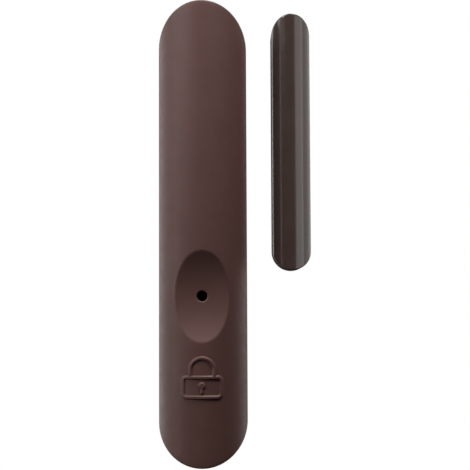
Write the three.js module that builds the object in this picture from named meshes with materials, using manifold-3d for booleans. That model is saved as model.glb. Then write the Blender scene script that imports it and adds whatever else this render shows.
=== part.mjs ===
// A wireless door contact: a transmitter for the door frame and a slim magnet unit for the door leaf.
// Millimetres. +Z is up along the transmitter, -Y is the visible front, and y = 0 is the wall.
// The origin is the middle of the transmitter's back face.
// Distances called "out" are measured from the wall towards the front, so out = -y.
import * as THREE from "three";
import { mergeVertices } from "three/addons/utils/BufferGeometryUtils.js";
import Module from "manifold-3d";

const wasm = await Module();
wasm.setup();

// ---- driving dimensions ----

const GAP = 0.1; // between pieces that touch
const RUN = 0.3; // around a piece that moves

// An arched housing: straight sides, a half-round front and half-elliptical ends.
const TRANSMITTER = { length: 138, width: 26.8, depth: 21, end: 13.4, wall: 1.9, plate: 2 };
const MAGNET_UNIT = { length: 77.9, width: 11.8, depth: 13, end: 6, wall: 1.3, plate: 1.6 };
const MAGNET_AT = { x: 27, z: 27.8 }; // the magnet unit's centre beside the transmitter
const PARTING = 0.1; // the seam between a cover and its base plate

const SCOOP = { z: -18.95, depth: 2.87, radius: 33.6 }; // thumb scoop: a level cylinder cut into the arch
const DRIVER_HOLE = { radius: 1.55, z: -18.9 }; // lets a screwdriver in through the scoop
const EMBLEM = { z: -42.8, relief: 0.35, stroke: 1.2 }; // raised padlock sign

// The captive screw sits in a sleeve behind the scoop and bites into a pillar of the base plate.
const PILLAR = { radius: 3.5, top: 5.8, bore: 1.6, bottom: 0.8 };
const SLEEVE = { radius: 3.9, bore: 2.8, mouth: 6.2 };
const RETAINER = { radius: 2.7, bore: 1.6, thick: 1.6 };
const WASHER = { radius: 2.35, bore: 1.5, thick: 0.5 };
const SCREW = { head: 2.35, headHeight: 2.2, shank: 1.3, tip: 2.3, slot: 0.8, slotLength: 2.8, slotDepth: 1.2 };

const BOARD = { width: 18.4, end: 9.4, back: 2.8, thick: 1, top: 54.5 };
const BOARD_FACE = BOARD.back + BOARD.thick;
const BOARD_WINDOW = { halfWidth: 5, bottom: -23.5, top: -4.5 };
const WALL_SLOTS = [{ z: 60.5 }, { z: -9.5 }]; // keyways for the wall screws
const WALL_SLOT = { width: 4, length: 7 };
const BOARD_SCREWS = [
  { name: "pcb_screw_upper", x: 6.4, z: 43 },
  { name: "pcb_screw_lower", x: 6.4, z: -27.2 },
];
const BOARD_RESTS = [{ x: -6.4, z: 43 }, { x: -6.4, z: -27.2 }, { x: 0, z: -58 }];
const POST = { radius: 2.2, bore: 0.95 };

const CELL = { radius: 7.25, length: 25.2, nub: 1.5, nubRadius: 3.2, bottom: -58.2, lift: 0.2 };
const CONTACT = { width: 8, height: 12.4, thick: 0.4, foot: 3 };
const COIL = { wide: 4.2, narrow: 2.4, wire: 0.35, turns: 3, length: 2.7 };

const REED = { x: 7.2, z: 26.7, glass: 14, radius: 1.15, out: 1.6, lead: 0.25, reach: 2.2, seal: 2.6, overlap: 0.8 };
const TAMPER = { x: -4.6, z: 2.5, size: 6, height: 4.1, plunger: 1.5, tip: 8.2 };
const BUTTON = { x: 4.6, z: 2.5, size: 6, height: 3.4, cap: 1.7, tip: 4.5, travel: 0.3 };

// ---- solids ----

/** A closed three.js geometry as a solid that can be cut and joined. */
function solid(geometry) {
  const bare = geometry.clone();
  bare.deleteAttribute("normal");
  bare.deleteAttribute("uv");
  const merged = mergeVertices(bare, 1e-4);
  return new wasm.Manifold(
    new wasm.Mesh({
      numProp: 3,
      vertProperties: new Float32Array(merged.attributes.position.array),
      triVerts: new Uint32Array(merged.index.array),
    }),
  );
}

/** A solid turned back into a three.js geometry. */
function geometryOf(body) {
  const mesh = body.getMesh();
  const geometry = new THREE.BufferGeometry();
  geometry.setAttribute("position", new THREE.BufferAttribute(new Float32Array(mesh.vertProperties), 3));
  geometry.setIndex(new THREE.BufferAttribute(new Uint32Array(mesh.triVerts), 1));
  geometry.computeVertexNormals();
  return geometry;
}

/** An (x, z) outline, with `arcSides` sides to each arc, as a slab between two distances out. */
function slab(shape, from, to, arcSides = 20) {
  const options = { depth: to - from, bevelEnabled: false, curveSegments: arcSides / 2 };
  return solid(new THREE.ExtrudeGeometry(shape, options).rotateX(Math.PI / 2).translate(0, -from, 0));
}

/** A box between two distances out, centred on (x, z). */
function block(width, height, from, to, x = 0, z = 0) {
  return solid(new THREE.BoxGeometry(width, to - from, height).translate(x, -(from + to) / 2, z));
}

/** A round bar that points straight out of the wall. */
function peg(radius, from, to, x = 0, z = 0, segments = 24) {
  const bar = new THREE.CylinderGeometry(radius, radius, to - from, segments);
  return solid(bar.translate(x, -(from + to) / 2, z));
}

/** A round bar that runs up along Z. */
function upright(radius, bottom, top, x, out, segments = 24) {
  const bar = new THREE.CylinderGeometry(radius, radius, top - bottom, segments).rotateX(Math.PI / 2);
  return solid(bar.translate(x, -out, (bottom + top) / 2));
}

/** A turned piece: a profile of [radius, height] points, turned about Z. */
function turned(profile, segments = 24) {
  const points = profile.map(([radius, height]) => new THREE.Vector2(radius, height));
  return solid(new THREE.LatheGeometry(points, segments).rotateX(Math.PI / 2));
}

/** The pill outline of a housing, drawn in by `inset` on every side. */
function pill(housing, inset = 0) {
  const half = housing.width / 2 - inset;
  const end = housing.end - inset;
  const straight = housing.length / 2 - housing.end;
  const shape = new THREE.Shape();
  shape.moveTo(half, -straight);
  shape.lineTo(half, straight);
  shape.absellipse(0, straight, half, end, 0, Math.PI);
  shape.lineTo(-half, -straight);
  shape.absellipse(0, -straight, half, end, Math.PI, 2 * Math.PI);
  return shape;
}

/** The arch of a housing, drawn in by `inset`, as an endless bar that starts at `from`. */
function arch(housing, inset, from) {
  const half = housing.width / 2 - inset;
  const spring = housing.depth - housing.width / 2;
  const shape = new THREE.Shape();
  shape.moveTo(half, from);
  shape.lineTo(half, spring);
  shape.absarc(0, spring, half, 0, Math.PI);
  shape.lineTo(-half, from);
  const length = housing.length + 10;
  const options = { depth: length, bevelEnabled: false, curveSegments: 14 };
  return solid(new THREE.ExtrudeGeometry(shape, options).rotateX(Math.PI).translate(0, 0, length / 2));
}

/** The full form of a housing, drawn in by `inset`, in front of the distance `from`. */
function dome(housing, inset, from) {
  return arch(housing, inset, from).intersect(slab(pill(housing, inset), from - 1, housing.depth + 2));
}

/** A low wall inside a cover that centres it on its base plate. */
function rim(housing, thick, top) {
  const inset = housing.wall + 0.25;
  const outer = slab(pill(housing, inset), housing.plate - 0.5, top);
  return outer.subtract(slab(pill(housing, inset + thick), 0, top + 1));
}

/** A rounded rectangle in (x, z). */
function roundedRect(width, height, radius, x = 0, z = 0) {
  const right = x + width / 2 - radius;
  const left = x - width / 2 + radius;
  const top = z + height / 2 - radius;
  const bottom = z - height / 2 + radius;
  const shape = new THREE.Shape();
  shape.absarc(right, top, radius, 0, Math.PI / 2);
  shape.absarc(left, top, radius, Math.PI / 2, Math.PI);
  shape.absarc(left, bottom, radius, Math.PI, 1.5 * Math.PI);
  shape.absarc(right, bottom, radius, 1.5 * Math.PI, 2 * Math.PI);
  return shape;
}

/** A helix of round wire about Z whose radius changes from one end to the other. */
class Helix extends THREE.Curve {
  constructor(startRadius, endRadius, turns, length) {
    super();
    Object.assign(this, { startRadius, endRadius, turns, length });
  }

  getPoint(t, target = new THREE.Vector3()) {
    const angle = 2 * Math.PI * this.turns * t;
    const radius = THREE.MathUtils.lerp(this.startRadius, this.endRadius, t);
    return target.set(radius * Math.cos(angle), radius * Math.sin(angle), this.length * t);
  }
}

/** Round wire wound along a curve. */
function wire(curve, radius, steps, sides = 6) {
  const section = new THREE.Shape();
  section.absarc(0, 0, radius, 0, 2 * Math.PI);
  const options = { steps, extrudePath: curve, curveSegments: sides / 2, bevelEnabled: false };
  return solid(new THREE.ExtrudeGeometry(section, options));
}

// ---- transmitter housing ----

/** The level cylinder that cuts the thumb scoop, grown by `extra` for the wall behind it. */
function scoopCutter(extra) {
  const radius = SCOOP.radius + extra;
  const centreOut = TRANSMITTER.depth - SCOOP.depth + SCOOP.radius;
  const cylinder = new THREE.CylinderGeometry(radius, radius, 2 * TRANSMITTER.width, 144);
  return solid(cylinder.rotateZ(Math.PI / 2).translate(0, -centreOut, SCOOP.z));
}

/** A padlock drawn in strokes: a shackle over a rounded body with a keyhole. */
function padlockStrokes() {
  const from = TRANSMITTER.depth - 5;
  const to = TRANSMITTER.depth + 2;
  const half = EMBLEM.stroke / 2;
  const body = { width: 12.6, height: 7, radius: 1.6, z: EMBLEM.z - 2.7 };
  const shackle = { radius: 3.6, z: EMBLEM.z + 2.2 };
  const bodyTop = body.z + body.height / 2;
  const bodyRing = slab(roundedRect(body.width, body.height, body.radius, 0, body.z), from, to, 6).subtract(
    slab(
      roundedRect(body.width - 2 * EMBLEM.stroke, body.height - 2 * EMBLEM.stroke, half, 0, body.z),
      from - 1,
      to + 1,
      4,
    ),
  );
  const arc = new THREE.Shape();
  arc.moveTo(shackle.radius + half, bodyTop - half);
  arc.lineTo(shackle.radius + half, shackle.z);
  arc.absarc(0, shackle.z, shackle.radius + half, 0, Math.PI);
  arc.lineTo(-shackle.radius - half, bodyTop - half);
  arc.lineTo(-shackle.radius + half, bodyTop - half);
  arc.lineTo(-shackle.radius + half, shackle.z);
  arc.absarc(0, shackle.z, shackle.radius - half, Math.PI, 0, true);
  arc.lineTo(shackle.radius - half, bodyTop - half);
  const keyhole = peg(1, from, to, 0, body.z + 0.5, 12).add(block(0.9, 2, from, to, 0, body.z - 0.7));
  return bodyRing.add(slab(arc, from, to, 12)).add(keyhole);
}

/** Shallow hoops that stiffen the cover from inside. */
function coverHoops() {
  const hoop = { height: 0.9, thick: 1, from: 6 };
  const ring = dome(TRANSMITTER, TRANSMITTER.wall - 0.3, hoop.from).subtract(
    dome(TRANSMITTER, TRANSMITTER.wall + hoop.height, hoop.from - 1),
  );
  const places = [18, 41, 60].map((z) => block(TRANSMITTER.width, hoop.thick, 0, TRANSMITTER.depth + 1, 0, z));
  return ring.intersect(places[0].add(places[1]).add(places[2]));
}

function frontCover() {
  const { wall, plate, depth } = TRANSMITTER;
  const open = plate + PARTING;
  const emblem = padlockStrokes().intersect(dome(TRANSMITTER, -EMBLEM.relief, open));
  const outside = dome(TRANSMITTER, 0, open).subtract(scoopCutter(0)).add(emblem);
  const cavity = dome(TRANSMITTER, wall, open - 1).subtract(scoopCutter(wall));
  const sleeve = peg(SLEEVE.radius, SLEEVE.mouth, depth - SCOOP.depth - wall / 2, 0, DRIVER_HOLE.z);
  const sleeveBore = peg(SLEEVE.bore, SLEEVE.mouth - 1, depth - SCOOP.depth - wall, 0, DRIVER_HOLE.z);
  const tamperRib = peg(1.7, BOARD_FACE + TAMPER.tip + RUN, depth - wall - 0.2, TAMPER.x, TAMPER.z, 16);
  return outside
    .subtract(cavity)
    .add(sleeve)
    .add(tamperRib)
    .add(coverHoops())
    .subtract(sleeveBore)
    .subtract(peg(DRIVER_HOLE.radius, SLEEVE.mouth, depth + 1, 0, DRIVER_HOLE.z));
}

function basePlate() {
  const { plate } = TRANSMITTER;
  const slot = { width: WALL_SLOT.width, length: WALL_SLOT.length, end: WALL_SLOT.width / 2 };
  let base = slab(pill(TRANSMITTER), 0, plate).add(rim(TRANSMITTER, 1.2, 4.6));
  base = base.add(peg(PILLAR.radius, plate - 0.5, PILLAR.top, 0, DRIVER_HOLE.z));
  base = base.subtract(peg(PILLAR.bore, PILLAR.bottom, PILLAR.top + 1, 0, DRIVER_HOLE.z));
  for (const { x, z } of [...BOARD_SCREWS, ...BOARD_RESTS]) {
    base = base.add(peg(POST.radius, plate - 0.5, BOARD.back - GAP, x, z, 16));
  }
  for (const { x, z } of BOARD_SCREWS) {
    base = base.subtract(peg(POST.bore, PILLAR.bottom, BOARD.back + 1, x, z, 16));
  }
  for (const { z } of WALL_SLOTS) {
    const keyway = slab(pill(slot), -1, plate + 1, 8);
    base = base.subtract(keyway.translate(0, 0, z));
  }
  return base;
}

// ---- the captive cover screw ----

function screwRetainer() {
  const { radius, bore, thick } = RETAINER;
  const bush = peg(radius, SLEEVE.mouth, SLEEVE.mouth + thick, 0, DRIVER_HOLE.z);
  return bush.subtract(peg(bore, 0, 10, 0, DRIVER_HOLE.z));
}

const WASHER_FROM = SLEEVE.mouth + RETAINER.thick + GAP;
const HEAD_FROM = WASHER_FROM + WASHER.thick + GAP;

function screwWasher() {
  const disc = peg(WASHER.radius, WASHER_FROM, WASHER_FROM + WASHER.thick, 0, DRIVER_HOLE.z);
  return disc.subtract(peg(WASHER.bore, 0, 10, 0, DRIVER_HOLE.z));
}

function coverScrew() {
  const top = HEAD_FROM + SCREW.headHeight;
  const { z } = DRIVER_HOLE;
  const recessFrom = top - SCREW.slotDepth;
  const cross = block(SCREW.slot, SCREW.slotLength, recessFrom, top + 1, 0, z).add(
    block(SCREW.slotLength, SCREW.slot, recessFrom, top + 1, 0, z),
  );
  const head = peg(SCREW.head, HEAD_FROM, top, 0, z).subtract(cross);
  return head.add(peg(SCREW.shank, SCREW.tip, HEAD_FROM + 0.5, 0, z));
}

// ---- circuit board, with its parts measured out from the board's face ----

function circuitBoard() {
  const board = { width: BOARD.width, length: TRANSMITTER.length, end: BOARD.end };
  board.length -= 2 * (TRANSMITTER.end - BOARD.end);
  const { halfWidth, bottom, top } = BOARD_WINDOW;
  let plate = slab(pill(board), 0, BOARD.thick).translate(0, BOARD.thick, 0);
  plate = plate.subtract(block(30, 30, -5, 5, 0, BOARD.top + 15));
  plate = plate.subtract(
    slab(roundedRect(2 * halfWidth, top - bottom, 2, 0, (top + bottom) / 2), -3, 3, 4),
  );
  for (const { x, z } of BOARD_SCREWS) {
    plate = plate.subtract(peg(1.2, -3, 3, x, z, 16));
  }
  return plate;
}

function boardScrew({ x, z }) {
  const head = peg(1.8, GAP, GAP + 1.2, x, z, 16).subtract(block(2.6, 0.5, GAP + 0.7, 3, x, z));
  return head.add(peg(0.8, -2.6, GAP + 0.3, x, z, 12));
}

function batteryCell() {
  const { radius, length, nub, nubRadius } = CELL;
  const cell = turned([
    [0, 0],
    [radius - 0.5, 0],
    [radius, 0.5],
    [radius, length - nub - 0.5],
    [radius - 0.5, length - nub],
    [nubRadius, length - nub],
    [nubRadius - 0.3, length],
    [0, length],
  ], 32);
  return cell.translate(0, -(CELL.lift + radius), CELL.bottom);
}

function batteryContact(z, side) {
  const { width, height, thick, foot } = CONTACT;
  const blade = block(width, thick, GAP, height, 0, z);
  return blade.add(block(width, foot, GAP, GAP + thick, 0, z + (side * (foot - thick)) / 2));
}

function batterySpring() {
  const helix = new Helix(COIL.wide, COIL.narrow, COIL.turns, COIL.length - 2 * COIL.wire);
  const lowest = CELL.bottom - GAP - COIL.length + COIL.wire;
  return wire(helix, COIL.wire, 42).translate(0, -(CELL.lift + CELL.radius), lowest);
}

function reedGlass() {
  const half = REED.glass / 2;
  const tube = turned([
    [0.35, -half],
    [0.8, -half + 0.1],
    [REED.radius, -half + 0.9],
    [REED.radius, half - 0.9],
    [0.8, half - 0.1],
    [0.35, half],
    [0.35, half - 1.7],
    [0.85, half - 2.3],
    [0.85, -half + 2.3],
    [0.35, -half + 1.7],
    [0.35, -half],
  ], 16);
  return tube.translate(REED.x, -REED.out, REED.z);
}

/** A lead from inside the glass, out along its axis and down to the board. */
function reedLead(side) {
  const { x, z, out, glass, lead, reach, seal } = REED;
  const inner = z + side * (glass / 2 - seal);
  const outer = z + side * (glass / 2 + reach);
  const along = upright(lead, Math.min(inner, outer), Math.max(inner, outer), x, out, 10);
  return along.add(peg(lead, GAP, out + lead, x, outer - side * lead, 10));
}

/** The lower lead carries the fixed blade, which passes the middle of the glass. */
function reedLeadLower() {
  const { x, z, out, glass, overlap, seal } = REED;
  const root = z - glass / 2 + seal - 0.2;
  const tip = z + overlap;
  return reedLead(-1).add(block(1, tip - root, out - 0.2, out, x, (root + tip) / 2));
}

function reedBlade() {
  const { x, z, out, glass, overlap, seal } = REED;
  const root = z + glass / 2 - seal - GAP;
  const tip = z - overlap;
  return block(1, root - tip, out + 0.06, out + 0.26, x, (root + tip) / 2);
}

function tamperBody() {
  const { x, z, size, height, plunger } = TAMPER;
  const box = block(size, size, GAP, height, x, z);
  return box.subtract(peg(plunger + 0.2, 1, height + 1, x, z, 16));
}

function tamperPlunger() {
  const { x, z, plunger, tip } = TAMPER;
  const flange = peg(2.3, tip - 0.9, tip - 0.3, x, z, 16);
  return peg(plunger, 1.4, tip, x, z, 16).add(flange);
}

function tamperSpring() {
  const { x, z, height, tip } = TAMPER;
  const radius = 2;
  const wireRadius = 0.2;
  const from = height + GAP + wireRadius;
  const length = tip - 0.9 - GAP - wireRadius - from;
  const coil = wire(new Helix(radius, radius, 3.5, length), wireRadius, 42, 6);
  return coil.rotate([90, 0, 0]).translate(x, -from, z);
}

function buttonBody() {
  const { x, z, size, height, cap } = BUTTON;
  return block(size, size, GAP, height, x, z).subtract(peg(cap + 0.2, 1.6, height + 1, x, z, 16));
}

function buttonCap() {
  const { x, z, cap, tip } = BUTTON;
  return peg(cap, 1.6 + BUTTON.travel + GAP, tip, x, z, 16);
}

function statusLed() {
  const lens = new THREE.SphereGeometry(0.7, 12, 8).translate(0, -0.9, 2.5);
  return block(1.5, 2.6, GAP, 0.9, 0, 2.5).add(solid(lens));
}

/** A square chip whose gull-wing legs stick out on all four sides. */
function microcontroller() {
  const at = { x: -3.4, z: 13.4 };
  const legs = { count: 6, pitch: 0.95, width: 0.4, span: 9 };
  let chip = block(7, 7, 0.25, 1.3, at.x, at.z);
  for (let index = 0; index < legs.count; index += 1) {
    const offset = (index - (legs.count - 1) / 2) * legs.pitch;
    chip = chip.add(block(legs.span, legs.width, 0.45, 0.65, at.x, at.z + offset));
    chip = chip.add(block(legs.width, legs.span, 0.45, 0.65, at.x + offset, at.z));
    for (const side of [-1, 1]) {
      const foot = side * (legs.span / 2 - 0.3);
      chip = chip.add(block(0.6, legs.width, GAP, 0.6, at.x + foot, at.z + offset));
      chip = chip.add(block(legs.width, 0.6, GAP, 0.6, at.x + offset, at.z + foot));
    }
  }
  return chip;
}

function crystal() {
  const can = { width: 3.8, length: 9.6, end: 1.9 };
  const flange = { width: 4.4, length: 10.4, end: 2.2 };
  return slab(pill(flange), GAP, 0.5, 8).add(slab(pill(can), 0.4, 3.4, 8)).translate(5.2, 0, 11.6);
}

function bufferCapacitor() {
  const at = { x: -5.2, z: 23.2 };
  const can = turned([[0, 0], [3.1, 0], [3.1, 0.8], [2.9, 1.1], [3.1, 1.4], [3.1, 5.6], [2.8, 5.9], [0, 5.9]]);
  const standing = can.rotate([90, 0, 0]).translate(at.x, -0.8, at.z);
  return standing.add(block(6.4, 6.4, GAP, 1, at.x, at.z));
}

const RADIO = { x: -2.8, z: 36.2, width: 11.6, height: 16 };

function radioBoard() {
  return block(RADIO.width, RADIO.height, GAP, 0.9, RADIO.x, RADIO.z);
}

/** The pressed can over the radio: a lid with four walls, open towards its board. */
function radioShield() {
  const from = 0.9 + GAP;
  const can = block(RADIO.width - 1.6, 11, from, 3, RADIO.x, RADIO.z - 1.4);
  return can.subtract(block(RADIO.width - 2, 10.6, from - 1, 2.8, RADIO.x, RADIO.z - 1.4));
}

function antennaCoil() {
  const coil = wire(new Helix(2.2, 2.2, 6, 11), 0.4, 72, 6);
  return coil.rotate([0, 90, 0]).translate(-5.6, -2.8, 49.6);
}

function protectionDiode() {
  return block(2.6, 4.3, 0.3, 2.2, -6.4, -26.6).add(block(1.4, 5.4, GAP, 0.5, -6.4, -26.6));
}

const CHIP_PARTS = [
  { name: "chip_capacitor_1", x: 1.2, z: 20.4, height: 0.9 },
  { name: "chip_capacitor_2", x: 3.6, z: 20.4, height: 0.9 },
  { name: "chip_capacitor_3", x: 1.2, z: 24.6, height: 0.9 },
  { name: "chip_resistor_1", x: 3.6, z: 24.6, height: 0.6 },
  { name: "chip_resistor_2", x: -7, z: -14, height: 0.6 },
  { name: "chip_resistor_3", x: 7, z: -14, height: 0.6 },
];

function chipPart({ x, z, height }) {
  return block(1.3, 2.1, GAP, height, x, z);
}

// ---- magnet unit, in its own frame ----

const MAGNET = { radius: 2.9, length: 40, out: 6.6 };

function magnetCover() {
  const { wall, plate } = MAGNET_UNIT;
  const open = plate + PARTING;
  return dome(MAGNET_UNIT, 0, open).subtract(dome(MAGNET_UNIT, wall, open - 1));
}

function magnetBase() {
  const { plate } = MAGNET_UNIT;
  let base = slab(pill(MAGNET_UNIT), 0, plate).add(rim(MAGNET_UNIT, 0.8, 3.4));
  for (const z of [-14, 14]) {
    base = base.add(block(5.6, 3, plate - 0.5, MAGNET.out - 0.8, 0, z));
  }
  base = base.subtract(upright(MAGNET.radius + GAP, -30, 30, 0, MAGNET.out));
  for (const z of [-28, 28]) {
    base = base.subtract(peg(1.7, -1, plate + 1, 0, z, 16));
  }
  return base;
}

function barMagnet() {
  const { radius, length } = MAGNET;
  const half = length / 2;
  const bar = turned([[0, -half], [radius - 0.3, -half], [radius, 0.3 - half], [radius, half - 0.3],
    [radius - 0.3, half], [0, half]]);
  return bar.translate(0, -MAGNET.out, 0);
}

// ---- assembly ----

const finishes = {
  cover: { color: 0x5c4a46, roughness: 0.6, metalness: 0 },
  satin: { color: 0x423935, roughness: 0.38, metalness: 0 },
  board: { color: 0x1d5a36, roughness: 0.45, metalness: 0 },
  black: { color: 0x1b1b1c, roughness: 0.5, metalness: 0 },
  pale: { color: 0xdedbd2, roughness: 0.5, metalness: 0 },
  red: { color: 0xb3261e, roughness: 0.4, metalness: 0 },
  steel: { color: 0xb9bbbd, roughness: 0.3, metalness: 1 },
  brass: { color: 0xc19a4b, roughness: 0.3, metalness: 1 },
  glass: { color: 0xcfe0d8, roughness: 0.05, metalness: 0 },
  magnet: { color: 0x8f9194, roughness: 0.35, metalness: 1 },
};

function piece(name, body, finish) {
  const mesh = new THREE.Mesh(geometryOf(body), new THREE.MeshStandardMaterial(finishes[finish]));
  mesh.name = name;
  return mesh;
}

const group = new THREE.Group();

group.add(
  piece("front_cover", frontCover(), "cover"),
  piece("base_plate", basePlate(), "cover"),
  piece("screw_retainer", screwRetainer(), "black"),
  piece("screw_washer", screwWasher(), "steel"),
  piece("cover_screw", coverScrew(), "steel"),
);

const board = new THREE.Group();
board.position.y = -BOARD_FACE;
board.add(
  piece("circuit_board", circuitBoard(), "board"),
  piece("battery_cell", batteryCell(), "pale"),
  piece("battery_contact_positive", batteryContact(-32.4, 1), "steel"),
  piece("battery_contact_negative", batteryContact(-61.4, -1), "steel"),
  piece("battery_spring", batterySpring(), "steel"),
  piece("reed_glass", reedGlass(), "glass"),
  piece("reed_lead_upper", reedLead(1), "steel"),
  piece("reed_lead_lower", reedLeadLower(), "steel"),
  piece("reed_blade", reedBlade(), "steel"),
  piece("tamper_switch_body", tamperBody(), "black"),
  piece("tamper_plunger", tamperPlunger(), "pale"),
  piece("tamper_spring", tamperSpring(), "steel"),
  piece("learn_button_body", buttonBody(), "black"),
  piece("learn_button_cap", buttonCap(), "red"),
  piece("status_led", statusLed(), "pale"),
  piece("microcontroller", microcontroller(), "black"),
  piece("crystal", crystal(), "steel"),
  piece("buffer_capacitor", bufferCapacitor(), "steel"),
  piece("radio_board", radioBoard(), "board"),
  piece("radio_shield", radioShield(), "steel"),
  piece("antenna_coil", antennaCoil(), "brass"),
  piece("protection_diode", protectionDiode(), "black"),
);
for (const screw of BOARD_SCREWS) {
  board.add(piece(screw.name, boardScrew(screw), "steel"));
}
for (const part of CHIP_PARTS) {
  board.add(piece(part.name, chipPart(part), part.name.startsWith("chip_capacitor") ? "pale" : "black"));
}
group.add(board);

const magnetUnit = new THREE.Group();
magnetUnit.position.set(MAGNET_AT.x, 0, MAGNET_AT.z);
magnetUnit.add(
  piece("magnet_cover", magnetCover(), "satin"),
  piece("magnet_base", magnetBase(), "satin"),
  piece("bar_magnet", barMagnet(), "magnet"),
);
group.add(magnetUnit);

export default group;
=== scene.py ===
"""Looks of a wireless door contact: a textured brown transmitter beside a slim satin magnet unit.

The object is in millimetres until solid() turns it into metres; the studio is in metres. "Out" is the
distance from the wall, so out = -y. A mesh here is a pair: vertices (x, out, z), and faces.
"""

import random
from math import acos, copysign, cos, degrees, hypot, pi, radians, sin, sqrt

import bmesh
import bpy
from mathutils import Matrix, Vector

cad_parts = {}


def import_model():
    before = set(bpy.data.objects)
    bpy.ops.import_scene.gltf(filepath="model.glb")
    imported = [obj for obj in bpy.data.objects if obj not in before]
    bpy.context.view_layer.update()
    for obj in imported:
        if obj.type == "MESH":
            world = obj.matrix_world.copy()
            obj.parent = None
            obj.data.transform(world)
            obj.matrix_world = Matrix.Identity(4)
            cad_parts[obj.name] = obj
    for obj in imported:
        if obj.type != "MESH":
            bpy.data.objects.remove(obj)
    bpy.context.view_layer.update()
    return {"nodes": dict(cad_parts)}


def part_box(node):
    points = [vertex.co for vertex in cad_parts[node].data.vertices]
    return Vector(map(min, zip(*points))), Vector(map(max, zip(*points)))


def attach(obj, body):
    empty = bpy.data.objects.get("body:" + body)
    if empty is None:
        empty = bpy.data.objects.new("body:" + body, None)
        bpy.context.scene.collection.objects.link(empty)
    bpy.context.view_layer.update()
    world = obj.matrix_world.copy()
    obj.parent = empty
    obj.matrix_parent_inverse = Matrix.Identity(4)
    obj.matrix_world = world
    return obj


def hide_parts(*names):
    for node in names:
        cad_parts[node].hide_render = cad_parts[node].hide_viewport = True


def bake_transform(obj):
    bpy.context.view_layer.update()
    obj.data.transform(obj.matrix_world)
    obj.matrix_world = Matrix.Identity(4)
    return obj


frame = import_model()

MM = 0.001
SCENE = bpy.context.scene


# ---- sizes

class Extent:
    """A CAD node's box. Foot and top are its nearest and farthest distance from the wall."""

    def __init__(self, node):
        low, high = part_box(node)
        self.left, self.right = low.x / MM, high.x / MM
        self.lower, self.upper = low.z / MM, high.z / MM
        self.foot, self.top = -high.y / MM, -low.y / MM
        self.x = (self.left + self.right) / 2
        self.z = (self.lower + self.upper) / 2
        self.out = (self.foot + self.top) / 2
        self.half = (self.right - self.left) / 2
        self.length = self.upper - self.lower


class Housing(Extent):
    """A pill with straight sides, half-elliptical ends and a half-round front."""

    def __init__(self, cover, end, wall, relief=0.0):
        super().__init__(cover)
        self.end = end
        self.wall = wall
        self.straight = self.length / 2 - end
        self.depth = self.top - relief
        self.spring = self.depth - self.half
        self.plate = self.foot - SEAM

    def ring(self, inset, out, side_steps=12, end_steps=48):
        """Points round the pill, drawn in by inset."""
        half, end = self.half - inset, self.end - inset
        points = []
        for side in (1, -1):
            for index in range(side_steps):
                points.append((side * half, side * self.straight * (2 * index / side_steps - 1)))
            for index in range(end_steps):
                angle = pi * index / end_steps
                points.append((side * half * cos(angle),
                               side * (self.straight + end * sin(angle))))
        return [(self.x + x, out, self.z + z) for x, z in points]

    def rings(self, profile):
        """Rings at (inset, out) steps."""
        return [self.ring(inset, out) for inset, out in profile]


SEAM = 0.1
RELIEF = 0.35
TRANSMITTER = Housing("front_cover", end=13.0, wall=1.9, relief=RELIEF)
MAGNET_UNIT = Housing("magnet_cover", end=6.0, wall=1.3)
BOARD = Extent("circuit_board")
SOLDERED = BOARD.top + SEAM

SCOOP_Z, SCOOP_DEPTH, SCOOP_RADIUS = -18.95, 2.65, 35.7
HOLE_Z, HOLE_RADIUS, HOLE_RIM = -18.9, 1.55, 0.32
EMBLEM_Z, EMBLEM_STROKE, EMBLEM_REACH = -42.8, 1.2, 7.2
WALL_SLOTS_Z, HOOPS_Z = (60.5, -9.5), (18, 41, 60)
TRAY_CRADLES_DZ, TRAY_HOLES_DZ = (-14, 14), (-28, 28)
COVER_SCREW_PITCH, BOARD_SCREW_PITCH = 0.8, 0.5
AXIS = 0.01


# ---- pieces

def placed(name, data):
    """A new object in the scene."""
    item = bpy.data.objects.new(name, data)
    SCENE.collection.objects.link(item)
    return item


def solid(name, mesh):
    """An object without material or body, from a closed mesh."""
    vertices, faces = mesh
    data = bpy.data.meshes.new(name)
    data.from_pydata([(x * MM, -out * MM, z * MM) for x, out, z in vertices], [], faces)
    work = bmesh.new()
    work.from_mesh(data)
    bmesh.ops.remove_doubles(work, verts=work.verts, dist=0.002 * MM)
    bmesh.ops.dissolve_degenerate(work, edges=work.edges, dist=0.0005 * MM)
    bmesh.ops.recalc_face_normals(work, faces=work.faces)
    work.to_mesh(data)
    work.free()
    return placed(name, data)


def shade(piece, material, sharp=32):
    """One material, and smooth shading with creases above an angle in degrees."""
    piece.data.shade_smooth()
    piece.data.set_sharp_from_angle(angle=radians(sharp))
    piece.data.materials.clear()
    piece.data.materials.append(material)


def finish(piece, material, slot, *replaced, body="base", sharp=32):
    """Looks and body of a piece, and hides the CAD nodes that it stands for; the record slot is not used."""
    shade(piece, material, sharp)
    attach(piece, body)
    if replaced:
        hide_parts(*replaced)
    return piece


def make(name, mesh, material, slot, *replaced, body="base"):
    """A finished piece of one closed mesh."""
    return finish(solid(name, mesh), material, slot, *replaced, body=body)


def combine(piece, operation, meshes):
    """Applies a Boolean with each closed mesh in turn."""
    for mesh in meshes:
        other = solid("tool", mesh)
        modifier = piece.modifiers.new("combine", "BOOLEAN")
        modifier.object = other
        modifier.operation = operation
        modifier.solver = "MANIFOLD"
        graph = bpy.context.evaluated_depsgraph_get()
        result = bpy.data.meshes.new_from_object(piece.evaluated_get(graph))
        spent = (piece.data, other.data)
        piece.modifiers.clear()
        piece.data = result
        bpy.data.objects.remove(other)
        for data in spent:
            bpy.data.meshes.remove(data)


def join(piece, *meshes):
    combine(piece, "UNION", meshes)


def cut(piece, *meshes):
    combine(piece, "DIFFERENCE", meshes)


# ---- meshes

def even_angles(count, turn=pi):
    """Angles from 0 to a turn."""
    return [turn * k / count for k in range(count + 1)]


def corners(a, b):
    """A rectangle about the middle."""
    return (a, b), (-a, b), (-a, -b), (a, -b)


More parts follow.
